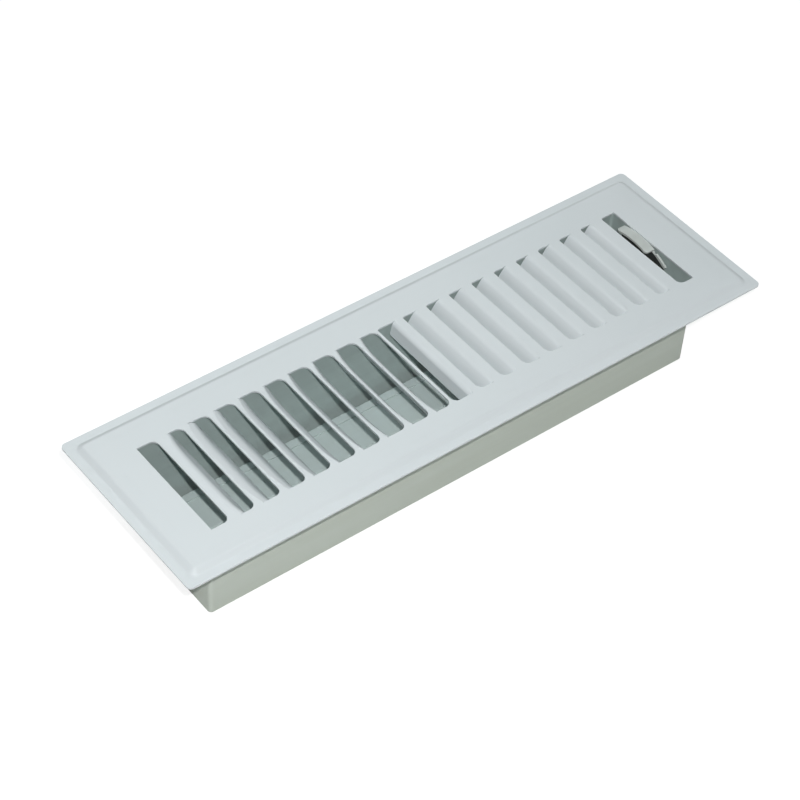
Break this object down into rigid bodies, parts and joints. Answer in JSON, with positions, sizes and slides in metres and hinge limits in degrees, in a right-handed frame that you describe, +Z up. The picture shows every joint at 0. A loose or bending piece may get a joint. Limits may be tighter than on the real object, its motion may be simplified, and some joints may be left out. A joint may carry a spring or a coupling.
{
  "type": "floor register",
  "caption": "Louvred steel floor register: a stamped face with curved slats over a damper box, with linked damper blades that a thumb lever opens and closes.",
  "frame": {"origin": "under the middle of the part, level with the lower edge of the damper box", "axes": "+X along the length towards the lever end, +Y from front to back, +Z up out of the face"},
  "size_m": [0.2922, 0.0888, 0.0474],
  "materials": {
    "face_paint": "semi-gloss white baked enamel",
    "box_paint": "satin white baked enamel, thinner coat",
    "zinc_steel": "zinc plated"
  },
  "bodies": {
    "register": {"face_plate": "face_paint", "damper_box": "box_paint", "left_front_rivet": "zinc_steel", "left_back_rivet": "zinc_steel", "right_front_pin": "zinc_steel", "right_back_pin": "zinc_steel", "lever_washer": "zinc_steel"},
    "lever": {"thumb_lever": "face_paint"},
    "front_damper": {"front_blade": "box_paint", "front_crank_rivet": "zinc_steel"},
    "back_damper": {"back_blade": "box_paint", "back_crank_rivet": "zinc_steel"},
    "tie": {"tie_bar": "zinc_steel", "tie_pin": "zinc_steel"}
  },
  "joints": [
    {"name": "lever_swing", "type": "hinge", "parent": "register", "child": "lever", "pos_m": [0.1229, 0.0113, 0.014], "axis": [1, 0, 0], "range_deg": [0, 28.5]},
    {"name": "front_turn", "type": "hinge", "parent": "register", "child": "front_damper", "pos_m": [0, -0.0113, 0.014], "axis": [1, 0, 0], "range_deg": [0, 80]},
    {"name": "back_turn", "type": "hinge", "parent": "register", "child": "back_damper", "pos_m": [0, 0.0113, 0.014], "axis": [1, 0, 0], "range_deg": [0, 80]},
    {"name": "tie_turn", "type": "hinge", "parent": "front_damper", "child": "tie", "pos_m": [0.1211, -0.00776, 0.01821], "axis": [1, 0, 0], "range_deg": [-80, 0]}
  ],
  "couplings": [
    {"joint": "front_turn", "follows": "lever_swing", "ratio": 2.807},
    {"joint": "back_turn", "follows": "lever_swing", "ratio": 2.807},
    {"joint": "tie_turn", "follows": "lever_swing", "ratio": -2.807}
  ]
}
